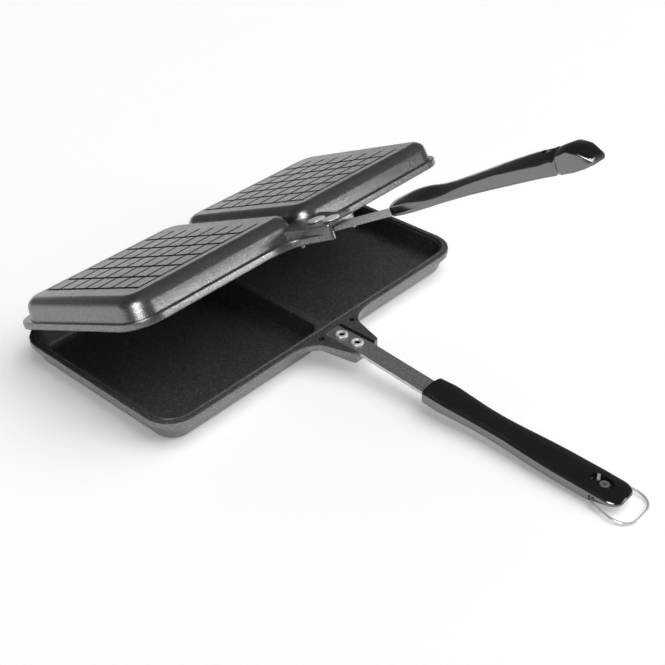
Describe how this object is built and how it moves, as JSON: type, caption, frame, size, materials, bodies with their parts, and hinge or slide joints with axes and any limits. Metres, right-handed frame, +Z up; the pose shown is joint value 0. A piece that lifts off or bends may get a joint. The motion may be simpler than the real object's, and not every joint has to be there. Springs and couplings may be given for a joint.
{
  "type": "stovetop sandwich maker",
  "caption": "Cast aluminium double sandwich toasting pan with a hinged grooved lid, two moulded handles on flat steel bars and a wire hanging ring.",
  "frame": {"origin": "centre of the footprint on the table, under the tray's flat underside plane", "axes": "+X along the two compartments to the right one, +Y from the handles towards the hinge, +Z up from the table"},
  "size_m": [0.28, 0.3938, 0.2061],
  "materials": {
    "tray_coating": "satin dark grey non-stick coating on cast aluminium",
    "lid_coating": "satin speckled metallic grey coating on cast aluminium",
    "bar_steel": "rolled flat bar, satin",
    "fastener_steel": "bright nickel plated",
    "handle_resin": "glossy moulded phenolic resin"
  },
  "bodies": {
    "base": {"base_tray": "tray_coating", "base_bar": "bar_steel", "base_rivet_rear": "fastener_steel", "base_rivet_front": "fastener_steel", "base_handle": "handle_resin", "base_handle_rivet": "fastener_steel", "hinge_pin_left": "fastener_steel", "hinge_pin_right": "fastener_steel"},
    "lid": {"lid_casting": "lid_coating", "lid_bar": "bar_steel", "lid_rivet_rear": "fastener_steel", "lid_rivet_front": "fastener_steel", "lid_handle": "handle_resin", "lid_handle_rivet": "fastener_steel"},
    "ring": {"hanging_ring": "fastener_steel"}
  },
  "joints": [
    {"name": "lid_hinge", "type": "hinge", "parent": "base", "child": "lid", "pos_m": [0, 0.19238, 0.0167], "axis": [-1, 0, 0], "range_deg": [-24.2, 75.8]},
    {"name": "ring_swivel", "type": "hinge", "parent": "base", "child": "ring", "pos_m": [0, -0.16962, 0.00374], "axis": [-1, 0, 0], "range_deg": [0, 155]}
  ]
}
